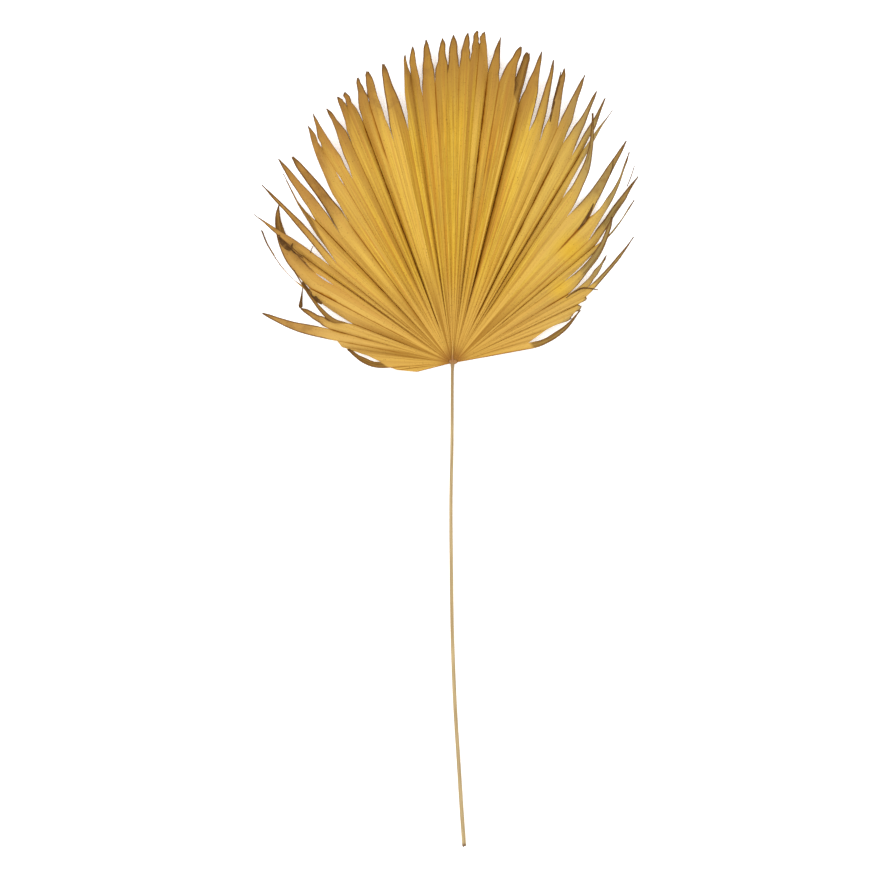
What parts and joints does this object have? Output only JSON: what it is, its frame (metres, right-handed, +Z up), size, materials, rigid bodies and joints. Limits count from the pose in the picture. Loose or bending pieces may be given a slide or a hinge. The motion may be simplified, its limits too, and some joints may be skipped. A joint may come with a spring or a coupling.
{
  "type": "dried fan palm leaf",
  "caption": "Dried fan palm leaf lying flat: a golden pleated fan blade that splits into pointed tips, on a long thin straw-coloured stalk.",
  "frame": {"origin": "under the middle of the leaf's bounding box, on the surface that the leaf lies on", "axes": "+Y along the blade, away from the cut end of the stalk; +Z up from the surface, towards the viewer of the picture; +X to the right in the picture"},
  "size_m": [0.4713, 1.0004, 0.0294],
  "materials": {
    "leaf_blade": "dry matt golden blade with fine lengthwise fibres",
    "leaf_stalk": "dry satin straw-coloured stalk"
  },
  "bodies": {
    "root": {"leaf_blade": "leaf_blade", "leaf_stalk": "leaf_stalk"}
  },
  "joints": []
}
